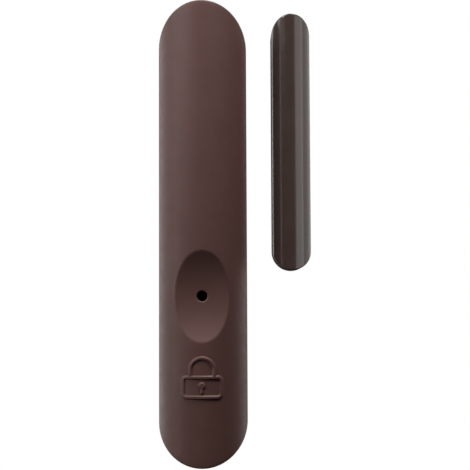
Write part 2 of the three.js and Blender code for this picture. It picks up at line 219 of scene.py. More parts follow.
def bridge(rings, closed=False):
    """Faces between rings of equal length, given as lists of vertex numbers."""
    count = len(rings[0])
    pairs = list(zip(rings, rings[1:]))
    if closed:
        pairs.append((rings[-1], rings[0]))
    faces = []
    for lower, upper in pairs:
        for i in range(count):
            j = (i + 1) % count
            faces.append((lower[i], lower[j], upper[j], upper[i]))
    return faces


def loft(rings, closed=False):
    """A mesh through rings of points, capped unless the loft closes on itself."""
    count = len(rings[0])
    numbered = [list(range(k * count, (k + 1) * count)) for k in range(len(rings))]
    faces = bridge(numbered, closed)
    if not closed:
        faces += [tuple(numbered[0][::-1]), tuple(numbered[-1])]
    return [point for ring in rings for point in ring], faces


def rounded(profile, radius, steps=3):
    """A profile of 2-D points with its corners rounded, apart from its two ends."""
    result = [profile[0]]
    for before, corner, after in zip(profile, profile[1:], profile[2:]):
        a, c, b = Vector(before), Vector(corner), Vector(after)
        reach = min(radius, (a - c).length / 2.1, (b - c).length / 2.1)
        start = c + (a - c).normalized() * reach
        stop = c + (b - c).normalized() * reach
        for k in range(steps + 1):
            u = k / steps
            point = start * (1 - u) ** 2 + c * (2 * u * (1 - u)) + stop * u ** 2
            result.append(tuple(point))
    result.append(profile[-1])
    return result


def plug(foot, top, radius, tip=None):
    """Profile of a turned pin, which may taper to another radius at its top."""
    return [(AXIS, foot), (radius, foot), (radius if tip is None else tip, top), (AXIS, top)]


def lathe(profile, x, z, segments=48, along_z=False, out=0.0, closed=False):
    """A mesh turned about an axis that points out, or up z. Profile points are (radius, height).

    A closed profile makes a ring or a tube.
    """
    rings = []
    for radius, height in profile:
        ring = []
        for k in range(segments):
            angle = 2 * pi * k / segments
            a, b = radius * cos(angle), radius * sin(angle)
            ring.append((x + a, out + b, z + height) if along_z else (x + a, height, z + b))
        rings.append(ring)
    return loft(rings, closed)


def bore(x, z, radius, foot, top, segments=32):
    """A plain round cutter that points out."""
    return lathe([(radius, foot), (radius, top)], x, z, segments)


def wire(points, radius, sides=12):
    """Round wire along points (x, out, z), with flat ends."""
    path = [Vector(p) for p in points]
    last = len(path) - 1
    tangents = [(path[min(i + 1, last)] - path[max(i - 1, 0)]).normalized() for i in range(len(path))]
    normal = tangents[0].orthogonal().normalized()
    rings = []
    for point, tangent in zip(path, tangents):
        normal = (normal - tangent * normal.dot(tangent)).normalized()
        across = tangent.cross(normal)
        rings.append([
            tuple(point + radius * (cos(a) * normal + sin(a) * across))
            for a in (2 * pi * k / sides for k in range(sides))
        ])
    return loft(rings)


def helix(start, axis, radii, turns, length, per_turn=28):
    """Points of a spring along axis 'out', 'x' or 'z', between two radii, a little tighter at both ends."""
    count = int(turns * per_turn)
    points = []
    for k in range(count + 1):
        t = k / count
        angle = 2 * pi * turns * t
        rise = length * (3 * t * t - 2 * t ** 3) * 0.35 + length * t * 0.65
        radius = radii[0] + (radii[1] - radii[0]) * t
        a, b = radius * cos(angle), radius * sin(angle)
        offset = {"out": (a, rise, b), "x": (rise, a, b), "z": (a, b, rise)}[axis]
        points.append(tuple(s + o for s, o in zip(start, offset)))
    return points


def cuboid(low, high, chamfer):
    """A box from low to high (x, out, z) whose edges are all chamfered."""
    rings = []
    for inset, out in ((chamfer, low[1]), (0, low[1] + chamfer), (0, high[1] - chamfer), (chamfer, high[1])):
        left, right = low[0] + inset, high[0] - inset
        bottom, top = low[2] + inset, high[2] - inset
        rings.append([
            (right, out, bottom + chamfer), (right, out, top - chamfer), (right - chamfer, out, top),
            (left + chamfer, out, top), (left, out, top - chamfer), (left, out, bottom + chamfer),
            (left + chamfer, out, bottom), (right - chamfer, out, bottom),
        ])
    return loft(rings)


def block(box, foot, top, chamfer, dx=0.0, dz=0.0):
    """A chamfered box as wide and long as a CAD node, less dx and dz at each side."""
    return cuboid((box.left + dx, foot, box.lower + dz), (box.right - dx, top, box.upper - dz), chamfer)


def stadium(x, out, z, radius, straight):
    """A ring with two straight sides and two half-round ends, 2 * straight apart."""
    ring = []
    for side in (1, -1):
        for angle in even_angles(16):
            ring.append((x + side * radius * cos(angle), out,
                         z + side * (straight + radius * sin(angle))))
    return ring


def merged(*meshes):
    """Several separate closed meshes as one."""
    vertices, faces = [], []
    for points, polygons in meshes:
        start = len(vertices)
        vertices += points
        faces += [tuple(start + i for i in polygon) for polygon in polygons]
    return vertices, faces


def graded(*stretches):
    """Values along stretches (from, to, step), without repeats."""
    values = [stretches[0][0]]
    for start, stop, step in stretches:
        count = max(1, round(abs(stop - start) / step))
        values += [start + (stop - start) * (k + 1) / count for k in range(count)]
    return values


# ---- materials

def set_inputs(node, **values):
    """Sets inputs of a shader node; an underscore stands for a space."""
    for key, value in values.items():
        node.inputs[key.replace("_", " ")].default_value = value
    return node


def add_node(material, kind, **values):
    return set_inputs(material.node_tree.nodes.new("ShaderNode" + kind), **values)


def link(material, output, node, name):
    material.node_tree.links.new(output, node.inputs[name])


def shader(name, **values):
    """A new node material and its Principled shader."""
    material = bpy.data.materials.new(name)
    material.use_nodes = True
    return material, set_inputs(material.node_tree.nodes["Principled BSDF"], **values)


def textured(material, texture, scale):
    """The value of a texture in the object's own space."""
    place = add_node(material, "TexCoord")
    mapping = add_node(material, "Mapping", Scale=scale)
    link(material, place.outputs["Object"], mapping, "Vector")
    link(material, mapping.outputs["Vector"], texture, "Vector")
    return texture.outputs["Fac"]


def noise(material, size_mm, detail, rough, stretch=(1, 1, 1)):
    """Noise whose features are about size_mm wide."""
    texture = add_node(material, "TexNoise", Scale=1.0, Detail=detail, Roughness=rough)
    return textured(material, texture, tuple(s / (size_mm * MM) for s in stretch))


def scaled(colour, factor):
    return tuple(min(1.0, c * factor) for c in colour)


def ramp(material, value, low, high):
    """A colour between low and high, led by 0.3 to 0.7 of a value."""
    node = add_node(material, "ValToRGB")
    for element, position, colour in zip(node.color_ramp.elements, (0.3, 0.7), (low, high)):
        element.position = position
        element.color = (*colour, 1)
    link(material, value, node, "Fac")
    return node.outputs["Color"]


def spread(material, value, low, high, start=0.3, stop=0.7):
    """Maps start to stop of a value to low to high."""
    node = add_node(material, "MapRange", From_Min=start, From_Max=stop, To_Min=low, To_Max=high)
    link(material, value, node, "Value")
    return node.outputs["Result"]


def bump(material, principled, height, strength, depth_mm, under=None):
    """A bump on the shader, on top of another bump if one is given."""
    node = add_node(material, "Bump", Strength=strength, Distance=depth_mm * MM)
    link(material, height, node, "Height")
    if under:
        link(material, under.outputs["Normal"], node, "Normal")
    link(material, node.outputs["Normal"], principled, "Normal")
    return node


def moulded(name, colour, roughness, grain_mm=0.16, grain_depth=0.012, mottling=0.1, streak=0.0):
    """Moulded plastic: tool-texture grain, soft mottling of colour and gloss, and a painted highlight that
    lightens sharp edges.
    """
    material, principled = shader(name)
    mottle = noise(material, 9, 4, 0.6)
    base = ramp(material, mottle, scaled(colour, 1 - mottling), scaled(colour, 1 + mottling))
    geometry = add_node(material, "NewGeometry")
    # painted highlight: the sharpest convex edges are blended up to a third of the way towards a colour 1.9
    # times lighter
    edge_highlight = spread(material, geometry.outputs["Pointiness"], 0.0, 0.35, 0.56, 0.72)
    mix = add_node(material, "Mix")
    mix.data_type = "RGBA"
    set_inputs(mix, B=(*scaled(colour, 1.9), 1))
    link(material, edge_highlight, mix, "Factor")
    link(material, base, mix, "A")
    link(material, mix.outputs["Result"], principled, "Base Color")
    gloss = spread(material, noise(material, 3, 3, 0.6), roughness - 0.05, roughness + 0.05)
    link(material, gloss, principled, "Roughness")
    grain = bump(material, principled, noise(material, grain_mm, 2, 0.5), 0.5, grain_depth)
    if streak:
        bump(material, principled, noise(material, 2.2, 2, 0.5, (1, 1, 0.04)), streak, 0.03, grain)
    return material


def metal(name, colour, roughness, brush=(1, 1, 1), brush_mm=0.4):
    """Bare metal with brushed scratches."""
    material, principled = shader(name, Metallic=1.0)
    base = ramp(material, noise(material, 2.5, 4, 0.6), scaled(colour, 0.86), scaled(colour, 1.06))
    link(material, base, principled, "Base Color")
    scratches = noise(material, brush_mm, 3, 0.6, brush)
    gloss = spread(material, scratches, roughness * 0.7, roughness * 1.4)
    link(material, gloss, principled, "Roughness")
    bump(material, principled, scratches, 0.25, 0.01)
    return material


def laminate(name):
    """Green solder mask over glass weave."""
    material, principled = shader(name, Roughness=0.32, Coat_Weight=0.4, Coat_Roughness=0.15)
    texture = add_node(material, "TexWave", Scale=1.0, Distortion=1.5, Detail=2.0)
    weave = textured(material, texture, (700, 700, 700))
    base = ramp(material, noise(material, 6, 4, 0.6), (0.010, 0.085, 0.035), (0.016, 0.125, 0.05))
    link(material, base, principled, "Base Color")
    bump(material, principled, weave, 0.15, 0.01)
    return material


def clear(name, colour, ior):
    material, principled = shader(name, Base_Color=(*colour, 1), Transmission_Weight=1.0, IOR=ior)
    gloss = spread(material, noise(material, 1.5, 3, 0.5), 0.02, 0.07)
    link(material, gloss, principled, "Roughness")
    return material


BROWN = moulded("brown_texture", (0.114, 0.0505, 0.0425), 0.56, 0.16, 0.02, 0.05)
SATIN = moulded("satin_brown", (0.043, 0.0270, 0.0235), 0.21, 0.1, 0.003, 0.08, streak=0.12)
NICKEL = metal("nickel", (0.72, 0.70, 0.65), 0.24)
ZINC = metal("zinc", (0.66, 0.67, 0.68), 0.3)
BLACKED = metal("blackened_steel", (0.035, 0.034, 0.036), 0.45)
TIN = metal("solder_tin", (0.75, 0.76, 0.78), 0.34, brush_mm=0.8)
COPPER = metal("copper", (0.80, 0.42, 0.22), 0.26)
ALUMINIUM = metal("aluminium_can", (0.80, 0.81, 0.82), 0.3, (1, 0.1, 1))
ALLOY = metal("magnet_alloy", (0.42, 0.42, 0.43), 0.42, (1, 1, 0.05))
MASK = laminate("solder_mask")
TRACE = moulded("masked_copper", (0.028, 0.19, 0.075), 0.34, 0.5, 0.002)
BLACK = moulded("black_resin", (0.014, 0.014, 0.015), 0.5, 0.12, 0.008)
IVORY = moulded("natural_nylon", (0.66, 0.62, 0.50), 0.45, 0.3, 0.006)
RED = moulded("red_cap", (0.42, 0.018, 0.012), 0.36, 0.3, 0.004)
SLEEVE = moulded("cell_sleeve", (0.02, 0.16, 0.24), 0.28, 1.2, 0.01)
TAN = moulded("tan_ceramic", (0.36, 0.24, 0.14), 0.5, 0.2, 0.004)
GLASS = clear("reed_glass", (0.82, 0.95, 0.88), 1.5)
LENS = clear("led_lens", (0.92, 0.93, 0.88), 1.45)


# ---- housings

def arched_solid(housing, inset, bottom, angles, heights, fillet, foot, reshape, end_steps=12):
    """The full form of a housing as one closed mesh, from a grid over the arch and rings down its wall.

    angles run over the arch from 0 to pi, heights along its straight part. reshape(x, z, out) moves a
    point of the arch. fillet rounds the edge where the arch meets the end walls, foot the lowest edge.
    """
    half, end = housing.half - inset, housing.end - inset
    straight, spring = housing.straight, housing.spring
    columns = len(angles)

    def radius_at(angle):
        return min(fillet, 0.3 * end * abs(sin(angle)))

    def row_height(kind, value, angle):
        if kind == 0:
            return value
        return kind * (straight + value * (end * sin(angle) - radius_at(angle)))

    steps = [(k + 1) / end_steps for k in range(end_steps)]
    rows = [(-1, t) for t in reversed(steps)] + [(0, z) for z in heights] + [(1, t) for t in steps]
    vertices = []
    for kind, value in rows:
        for angle in angles:
            x = half * cos(angle)
            z = row_height(kind, value, angle)
            vertices.append((x, reshape(x, z, spring + half * sin(angle)), z))
    faces = [
        (i * columns + j, i * columns + j + 1, (i + 1) * columns + j + 1, (i + 1) * columns + j)
        for i in range(len(rows) - 1)
        for j in range(columns - 1)
    ]

    first, last = end_steps, end_steps + len(heights) - 1
    edge = [(i, 0, 0) for i in range(first, last + 1)]
    edge += [(len(rows) - 1, j, 1) for j in range(1, columns - 1)]
    edge += [(i, columns - 1, 0) for i in range(last, first - 1, -1)]
    edge += [(0, j, -1) for j in range(columns - 2, 0, -1)]
    rings = [[i * columns + j for i, j, _ in edge]]

    def wall_ring(place):
        """Adds a ring; place(fillet radius, edge out) gives its way back, its out and its inset."""
        start = len(vertices)
        for i, j, side in edge:
            angle = angles[j]
            x = half * cos(angle)
            radius = radius_at(angle) if side else 0.0
            back, out, drawn = place(radius, spring + half * sin(angle))
            if side:
                normal = Vector((cos(angle) / half, sin(angle) / end)).normalized()
                z = side * (straight + end * sin(angle) - back - drawn * normal.y)
                vertices.append((x - drawn * normal.x, out, z))
            else:
                vertices.append((copysign(half - drawn, x), out, rows[i][1]))
        rings.append(list(range(start, len(vertices))))

    quarters = (0.25, 0.5, 0.75, 1.0)
    for u in quarters:
        wall_ring(lambda radius, top: (radius * (1 - u) ** 2, top - radius * u * u, 0.0))
    for t in quarters:
        wall_ring(lambda radius, top: (0.0, (top - radius) * (1 - t) + (bottom + foot) * t, 0.0))
    if foot:
        for u in (0.5, 1.0):
            wall_ring(lambda radius, top: (0.0, bottom + foot * (1 - u) ** 2, foot * u * u))
    faces += bridge(rings)
    faces.append(tuple(rings[-1]))
    return [(housing.x + x, out, housing.z + z) for x, out, z in vertices], faces


def plain(x, z, out):
    return out


def soft_minimum(a, b, blend):
    """The smaller of two numbers, rounded over where they meet."""
    share = min(max(0.5 + 0.5 * (b - a) / blend, 0.0), 1.0)
    return b + (a - b) * share - blend * share * (1 - share)


def scoop_out(z, extra=0.0):
    """How far out the scoop's cylinder lies at a height; far away where it doesn't reach."""
    centre = TRANSMITTER.depth - SCOOP_DEPTH + SCOOP_RADIUS
    reach = (SCOOP_RADIUS + extra) ** 2 - (z - SCOOP_Z) ** 2
    return centre - sqrt(reach) if reach > 0 else 1000.0


def padlock_distance(x, z):
    """Distance in the front view from the middle of the nearest stroke of the padlock sign."""
    body_z, width, height, corner = EMBLEM_Z - 2.7, 12.6 - EMBLEM_STROKE, 7 - EMBLEM_STROKE, 1.1
    dx = abs(x) - width / 2 + corner
    dz = abs(z - body_z) - height / 2 + corner
    body = hypot(max(dx, 0), max(dz, 0)) + min(max(dx, dz), 0) - corner
    shackle_z, radius, foot = EMBLEM_Z + 2.2, 3.6, body_z + height / 2
    if z > shackle_z:
        shackle = abs(hypot(x, z - shackle_z) - radius)
    else:
        shackle = hypot(abs(x) - radius, max(foot - z, 0))
    keyhole = hypot(x, z - body_z - 0.5) - 0.5
    stem = hypot(x, max(body_z - 1.5 - z, z - body_z - 0.5, 0)) + 0.12
    return min(abs(body), shackle, keyhole, stem)


def emblem_height(x, z, flank=0.34):
    """Relief of the padlock sign: flat strokes with sloping flanks."""
    t = min(max((EMBLEM_STROKE / 2 - padlock_distance(x, z)) / flank, 0.0), 1.0)
    return RELIEF * t * t * (3 - 2 * t)


def cover_front(x, z, out):
    """The transmitter's arch with its scoop, the rounded rim of the driver hole, and the emblem."""
    out = soft_minimum(out, scoop_out(z), 0.14)
    ring = (hypot(x, z - HOLE_Z) - HOLE_RADIUS) / HOLE_RIM
    if ring < 1:
        out -= HOLE_RIM * (1 - sqrt(1 - (1 - max(ring, 0.0)) ** 2))
    if abs(x) < EMBLEM_REACH and abs(z - EMBLEM_Z) < EMBLEM_REACH:
        out += emblem_height(x, z)
    return out


def cover_inside(x, z, out):
    return min(out, scoop_out(z, TRANSMITTER.wall))


def arch_angles(half, *stretches):
    """Angles over the arch, given as stretches of x from the middle outwards and then in 3 degree steps."""
    right = [acos(x / half) for x in graded(*stretches)]
    rest = right[-1]
    count = round(degrees(rest) / 3)
    right += [rest * (1 - (k + 1) / count) for k in range(count)]
    return sorted(right) + sorted(pi - a for a in right if a < pi / 2 - 1e-6)


def transmitter_cover():
    """The cover's shell, with a sleeve for the captive screw, a rib for the tamper pin, and hoops."""
    shape = TRANSMITTER
    s = shape.straight
    angles = arch_angles(shape.half, (0, 2.1, 0.12), (2.1, 6.6, 0.17), (6.6, 8.8, 0.22))
    emblem = (EMBLEM_Z - EMBLEM_REACH, -35.4, 0.17)
    scoop = ((-33, -20.8, 0.25), (-20.8, -16.5, 0.12), (-16.5, -4.6, 0.25))
    heights = graded((-s, emblem[0], 1.2), emblem, (emblem[1], -33, 0.5), *scoop, (-4.6, s, 2.0))
    cover = solid("cover_shell", arched_solid(shape, 0, shape.foot, angles, heights, 0.45, 0.2, cover_front))
    inner_heights = graded((-s, -34, 3), (-34, -4, 1), (-4, s, 4))
    cut(cover, arched_solid(shape, shape.wall, shape.foot - 1, even_angles(48), inner_heights, 0.3, 0,
                            cover_inside))

    retainer, tamper = Extent("screw_retainer"), Extent("tamper_plunger")
    mouth, radius = retainer.foot, retainer.half + SEAM
    ceiling = shape.depth - SCOOP_DEPTH - shape.wall
    sleeve = lathe(rounded(plug(mouth, ceiling + 0.8, radius + 1.1), 0.2), 0, HOLE_Z)
    rib = lathe(rounded(plug(tamper.top + 0.3, 18.4, 1.7, 2.1), 0.3), tamper.x, tamper.z, 24)
    join(cover, sleeve, rib, *(cover_hoop(z) for z in HOOPS_Z))
    chamber = [(AXIS, mouth - 1), (radius + 0.25, mouth - 1), (radius + 0.25, mouth), (radius, mouth + 0.25),
               (radius, ceiling), (AXIS, ceiling)]
    cut(cover, lathe(chamber, 0, HOLE_Z, 64), lathe(plug(mouth, 30, HOLE_RADIUS), 0, HOLE_Z, 64))
    finish(cover, BROWN, "brown_housing", "front_cover", body="cover")


def cover_hoop(z):
    """A shallow hoop inside the cover at a height."""
    shape = TRANSMITTER
    shown = sqrt(max(0.0, 1 - (max(z - shape.straight, 0) / (shape.end - shape.wall)) ** 2))
    outer, inner = shape.half - shape.wall + 0.3, shape.half - shape.wall - 0.9
    limit = min(1.0, shown + 0.02) * outer
    rings = []
    for angle in even_angles(32):
        ring = []
        for radius, dz in ((outer, -0.5), (outer, 0.5), (inner, 0.42), (inner, -0.42)):
            x = max(-limit, min(limit, radius * cos(angle)))
            ring.append((x, shape.spring + radius * sin(angle), z + dz))
        rings.append(ring)
    feet = [[(x, 6.0, height) for x, _, height in ring] for ring in (rings[0], rings[-1])]
    return loft([feet[0], *rings, feet[1]])


def magnet_cover():
    shape = MAGNET_UNIT
    heights = graded((-shape.straight, shape.straight, 1.6))
    cover = solid("magnet_shell",
                  arched_solid(shape, 0, shape.foot, even_angles(72), heights, 0.35, 0.15, plain))
    cut(cover, arched_solid(shape, shape.wall, shape.foot - 1, even_angles(36), heights[::4] + [heights[-1]],
                            0.2, 0, plain, 8))
    return finish(cover, SATIN, "satin_housing", "magnet_cover", body="magnet_lid")


def rimmed_plate(name, housing, rim_thick, rim_top, posts, holes):
    """An unfinished base plate with the rim that its cover slides over."""
    top = housing.plate
    plate = solid(name, loft(housing.rings(rounded([(1.0, 0), (0, 0), (0, top), (1.0, top)], 0.3))))
    outer, inner, foot = housing.wall + 0.25, housing.wall + 0.25 + rim_thick, top - 0.4
    section = [(outer, foot), (outer, rim_top - 0.25), (outer + 0.25, rim_top), (inner, rim_top),
               (inner, foot)]
    join(plate, loft(housing.rings(section), closed=True), *posts)
    cut(plate, *holes)
    return plate


def wall_slot(z, width, length, thick):
    """An upright slot with a countersink for a screw head on its front side."""
    return loft([
        stadium(0, out, z, width / 2 + grow, (length - width) / 2)
        for grow, out in ((0, -1), (0, thick * 0.45), (1.1, thick), (2.1, thick + 1))
    ])


def transmitter_base():
    """The base plate: a pillar for the cover screw, posts under the board, and slots for wall screws."""
    plate = TRANSMITTER.plate
    pillar = lathe(rounded(plug(plate - 0.5, 5.8, 3.9, 3.5), 0.25), 0, HOLE_Z)
    holes = [lathe([(AXIS, 0.8), (1.6, 0.8), (1.6, 5.5), (2.0, 5.9), (AXIS, 5.9)], 0, HOLE_Z, 32)]
    screws = [Extent(node) for node in ("pcb_screw_upper", "pcb_screw_lower")]
    rests = [(c.x, c.z) for c in screws] + [(-c.x, c.z) for c in screws] + [(0, -58)]
    post = rounded(plug(plate - 0.5, BOARD.foot - 0.1, 2.4, 2.2), 0.15)
    posts = [lathe(post, x, z, 32) for x, z in rests]
    holes += [lathe(plug(0.8, 5, 0.95), c.x, c.z, 24) for c in screws]
    holes += [wall_slot(z, 4, 7, plate) for z in WALL_SLOTS_Z]
    base = rimmed_plate("base_shell", TRANSMITTER, 1.2, 4.6, [pillar, *posts], holes)
    finish(base, BROWN, "brown_housing", "base_plate")


def magnet_base():
    """The magnet unit's tray: two cradles for the rod magnet and two countersunk holes."""
    shape, magnet = MAGNET_UNIT, Extent("bar_magnet")
    cradles = [
        cuboid((shape.x - 2.8, shape.plate - 0.5, z - 1.5), (shape.x + 2.8, magnet.out - 0.8, z + 1.5), 0.15)
        for z in (shape.z + dz for dz in TRAY_CRADLES_DZ)
    ]
    radius = magnet.half + SEAM
    trough = lathe([(radius, -30), (radius, 30)], shape.x, shape.z, 48, True, magnet.out)
    sink = [(1.7, -1), (1.7, shape.plate * 0.45), (2.8, shape.plate), (3.8, shape.plate + 1)]
    holes = [lathe(sink, shape.x, shape.z + dz, 32) for dz in TRAY_HOLES_DZ]
    tray = rimmed_plate("magnet_tray", shape, 0.8, 3.4, cradles, [trough, *holes])
    return finish(tray, SATIN, "satin_housing", "magnet_base", body="magnet")


def bar_magnet():
    box = Extent("bar_magnet")
    radius, half = box.half, box.length / 2
    upper = [(radius, half - 0.3), (radius - 0.1, half - 0.08), (radius - 0.3, half), (AXIS, half)]
    rod = lathe([(r, -height) for r, height in upper[::-1]] + upper, box.x, box.z, 56, True, box.out)
    make("magnet_rod", rod, ALLOY, "magnet_alloy", "bar_magnet", body="magnet")


# ---- screws

def cross_recess(x, z, top, reach, deep):
    """The two arms of a tapering driver cross."""
    arms = []
    for c, s in ((1, 0), (0, 1)):
        rings = []
        for grow, out in ((0.55, top - deep), (1.0, top), (1.1, top + 0.5)):
            length, width = reach * grow, reach * 0.28 * grow
            rings.append([(x + a * c - b * s, out, z + a * s + b * c) for a, b in corners(length, width)])
        arms.append(loft(rings))
    return arms


def threaded(x, z, core, crest, tip, top, pitch, segments=36):
    """A threaded shank: a lathe whose radius follows a helical thread, with a pointed tip."""
    steps = max(8, int((top - tip) / (pitch / 8)))
    rings = []
    for k in range(steps + 1):
        out = tip + (top - tip) * k / steps
        taper = min(1.0, (out - tip) / 0.9)
        ring = []
        for j in range(segments):
            angle = 2 * pi * j / segments
            phase = (out / pitch + j / segments) % 1.0
            tooth = max(0.0, 1 - abs(phase - 0.5) * 3.2)
            radius = (core + (crest - core) * tooth) * (0.62 + 0.38 * taper)
            ring.append((x + radius * cos(angle), out, z + radius * sin(angle)))
        rings.append(ring)
    return loft(rings)


def screw(name, node, head_foot, shank, pitch, material, body="base"):
    """A pan-head screw with a cross recess and a real thread."""
    box = Extent(node)
    piece = solid(name, lathe(rounded(plug(head_foot, box.top, box.half), 0.45, 4), box.x, box.z))
    join(piece, threaded(box.x, box.z, shank * 0.84, shank, box.foot, head_foot + 0.2, pitch))
    cut(piece, *cross_recess(box.x, box.z, box.top, box.half * 0.6, 1.0))
    finish(piece, material, "zinc_steel", node, body=body, sharp=28)


def bush(node, bore_radius, low_chamfer, high_chamfer):
    """A ring round the cover screw, with chamfered outer edges."""
    box = Extent(node)
    radius, foot, top = box.half, box.foot, box.top
    section = [(bore_radius, foot), (radius - low_chamfer, foot), (radius, foot + low_chamfer),
               (radius, top - high_chamfer), (radius - high_chamfer, top), (bore_radius, top)]
    return lathe(section, 0, HOLE_Z, closed=True)


def cover_fastening():
    """The captive screw with its washer, and the bush that keeps both in the cover."""
    head_foot = Extent("screw_washer").top + SEAM
    screw("captive_screw", "cover_screw", head_foot, 1.3, COVER_SCREW_PITCH, BLACKED, "screw")
    washer = bush("screw_washer", 1.5, 0.1, 0.1)
    make("washer_ring", washer, ZINC, "zinc_steel", "screw_washer", body="washer")
    retainer = bush("screw_retainer", 1.6, 0.3, 0.2)
    make("retainer_bush", retainer, BLACK, "black_plastic", "screw_retainer", body="cover")


def board_screws():
    for node in ("pcb_screw_upper", "pcb_screw_lower"):
        screw(node + "_threaded", node, SOLDERED, 0.8, BOARD_SCREW_PITCH, ZINC)


# ---- battery

def battery():
    """A half-AA cell with its printed sleeve's plain band, between a spring and two contacts."""
    box = Extent("battery_cell")
    radius, nub = box.half, 1.5
    shoulder = box.length - nub

    def turned(profile, closed=True):
        return lathe(profile, 0, box.lower, 72, True, box.out, closed)

    can = rounded([(AXIS, 0), (radius - 0.15, 0), (radius - 0.15, shoulder), (3.2, shoulder),
                   (3.0, box.length), (AXIS, box.length)], 0.35, 4)
    make("cell_can", turned(can, False), NICKEL, "cell_sleeve", "battery_cell")
    inner = radius - 0.14
    wrap = [(inner - 1.2, -0.04), (radius - 0.35, -0.06), (radius, 0.3), (radius, shoulder - 0.3),
            (radius - 0.35, shoulder + 0.06), (radius - 1.6, shoulder + 0.06),
            (radius - 1.6, shoulder + 0.01), (inner - 0.2, shoulder - 0.1), (inner, shoulder - 0.4),
            (inner, 0.4), (inner - 0.2, 0.05), (inner - 1.2, 0.02)]
    make("cell_wrap", turned(wrap), SLEEVE, "cell_sleeve")
    band = [(radius + 0.02, shoulder - 4.4), (radius + 0.02, shoulder - 1.6), (radius - 0.05, shoulder - 1.6),
            (radius - 0.05, shoulder - 4.4)]
    make("cell_band", turned(band), IVORY, "cell_sleeve")
    spring, gauge = Extent("battery_spring"), 0.35
    points = helix((0, box.out, spring.lower + gauge), "z", (spring.half - gauge, 2.4), 3,
                   spring.length - 2 * gauge)
    make("contact_spring", wire(points, gauge), NICKEL, "nickel_plate", "battery_spring")
    contact("battery_contact_positive", 1, box.out)
    contact("battery_contact_negative", -1, box.out)


def contact(node, side, cell_out):
    """A bent sheet-metal contact: a foot on the board, a round bend, an upright blade and a round boss."""
    box, thick, bend = Extent(node), 0.4, 0.7
    face, foot_end = (box.lower, box.upper) if side > 0 else (box.upper, box.lower)
    foot_out = SOLDERED + thick / 2
    path = [(foot_end, foot_out)]
    for angle in even_angles(6, pi / 2):
        path.append((face + side * (thick / 2 + bend * (1 - sin(angle))),
                     foot_out + bend * (1 - cos(angle))))
    path.append((face + side * thick / 2, box.top - 1.2))
    rings = []
    for index, (z, out) in enumerate(path):
        before, after = path[max(index - 1, 0)], path[min(index + 1, len(path) - 1)]
        along = Vector((after[0] - before[0], after[1] - before[1])).normalized()
        across = Vector((-along.y, along.x)) * thick / 2
        rings.append([(x, out + turn * across.y, z + turn * across.x)
                      for x, turn in corners(box.half, 1)])
    rings.append([(copysign(box.half - 1.2, x), box.top, z) for x, _, z in rings[-1]])
    piece = solid(node + "_sheet", loft(rings))
    boss = [(radius, side * height) for radius, height in rounded(plug(0.0, 0.25, 2.0, 2.4), 0.2)]
    join(piece, lathe(boss, 0, face - side * 0.12, 32, True, cell_out))
    finish(piece, NICKEL, "nickel_plate", node)


# ---- reed switch

def reed_switch():
    """A glass tube with two leads bent down to the board; the lower lead carries the moving blade."""
    glass = Extent("reed_glass")
    x, z, out, radius, half = glass.x, glass.z, glass.out, glass.half, glass.length / 2
    outer = rounded([(0.36, -half), (0.7, -half + 0.05), (radius, -half + 1.4), (radius, half - 1.4),
                     (0.7, half - 0.05), (0.36, half)], 0.5, 4)
    inner = rounded([(0.36, half - 1.7), (0.85, half - 2.6), (0.85, -half + 2.6), (0.36, -half + 1.7)], 0.4)
    make("reed_tube", lathe(outer + inner, x, z, 40, True, out, True), GLASS, "reed_glass", "reed_glass")
    for node, side in (("reed_lead_upper", 1), ("reed_lead_lower", -1)):
        box, bend = Extent(node), 0.6
        elbow = (box.upper if side > 0 else box.lower) - side * 0.25
        start = z + side * (half - 2.6)
        curve = [(x, out - bend * (1 - cos(a)), elbow - side * bend * (1 - sin(a)))
                 for a in even_angles(6, pi / 2)]
        solids = [wire([(x, out, start), (x, out, z + side * half), *curve, (x, SOLDERED, elbow)], 0.25, 14)]
        if side < 0:
            solids.append(cuboid((x - 0.5, out - 0.2, start + 0.02), (x + 0.5, out, z + 0.8), 0.05))
        make(node + "_wire", merged(*solids), NICKEL, "nickel_plate", node)
        joint = rounded(plug(BOARD.top, BOARD.top + 0.6, 0.8, 0.3), 0.3)
        make(node + "_solder", lathe(joint, x, elbow, 24), TIN, "nickel_plate")
    blade = Extent("reed_blade")
    make("reed_blade_flat", block(blade, blade.foot, blade.top, 0.04), NICKEL, "nickel_plate", "reed_blade",
         body="reed")


# ---- switches and lamp

def switch_body(node, radius):
    """A square tactile switch: black case, pressed metal lid with four rivets, legs and a plunger bore."""
    box, lid_thick, lid_edge = Extent(node), 0.25, 0.1
    x, z, top = box.x, box.z, box.top
    case = solid(node + "_case", block(box, SOLDERED, top - lid_thick, 0.2))
    cut(case, bore(x, z, radius, BOARD.top + 1, top + 1))
    finish(case, BLACK, "black_plastic", node)
    lid = solid(node + "_lid", block(box, top - lid_thick, top, 0.06, lid_edge, lid_edge))
    cut(lid, bore(x, z, radius, top - 1, top + 1))
    rivet = rounded(plug(top - 0.1, top + 0.07, 0.38, 0.3), 0.1)
    join(lid, *(lathe(rivet, x + dx, z + dz, 16) for dx in (-2.3, 2.3) for dz in (-2.3, 2.3)))
    finish(lid, NICKEL, "nickel_plate")
    foot, leg_top = BOARD.top + 0.02, BOARD.top + 0.3
    legs = []
    for side in (-1, 1):
        near, far = sorted((x + side * 2.9, x + side * 3.8))
        for dz in (-2.2, 2.2):
            legs.append(cuboid((near, foot, z + dz - 0.35), (far, leg_top, z + dz + 0.35), 0.04))
    make(node + "_legs", merged(*legs), TIN, "nickel_plate")


